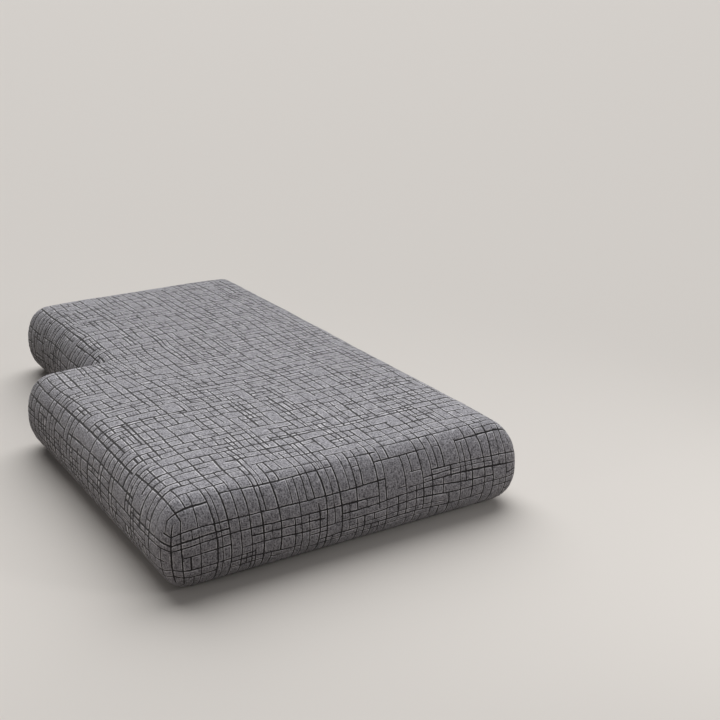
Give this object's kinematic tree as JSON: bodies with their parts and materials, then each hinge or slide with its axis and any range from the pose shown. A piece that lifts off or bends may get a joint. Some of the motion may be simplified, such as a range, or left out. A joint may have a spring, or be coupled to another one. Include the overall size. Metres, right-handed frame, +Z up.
{
  "type": "seat cushion cover",
  "caption": "Stretch jacquard cover on a long flat chaise seat cushion with rolled edges, a soft crown and an open corner recess for the sofa's arm.",
  "frame": {"origin": "centre of the box round the cushion, on the flat underside that it rests on", "axes": "+Z up through the crowned top; +Y along the cushion from its front edge to the end that goes under the back cushion; +X across it, away from the side with the arm recess"},
  "size_m": [0.9, 1.58, 0.2169],
  "materials": {
    "cover_cloth": "matt mottled grey stretch jacquard with recessed charcoal crosshatch lines"
  },
  "bodies": {
    "root": {"cushion_cover": "cover_cloth"}
  },
  "joints": []
}
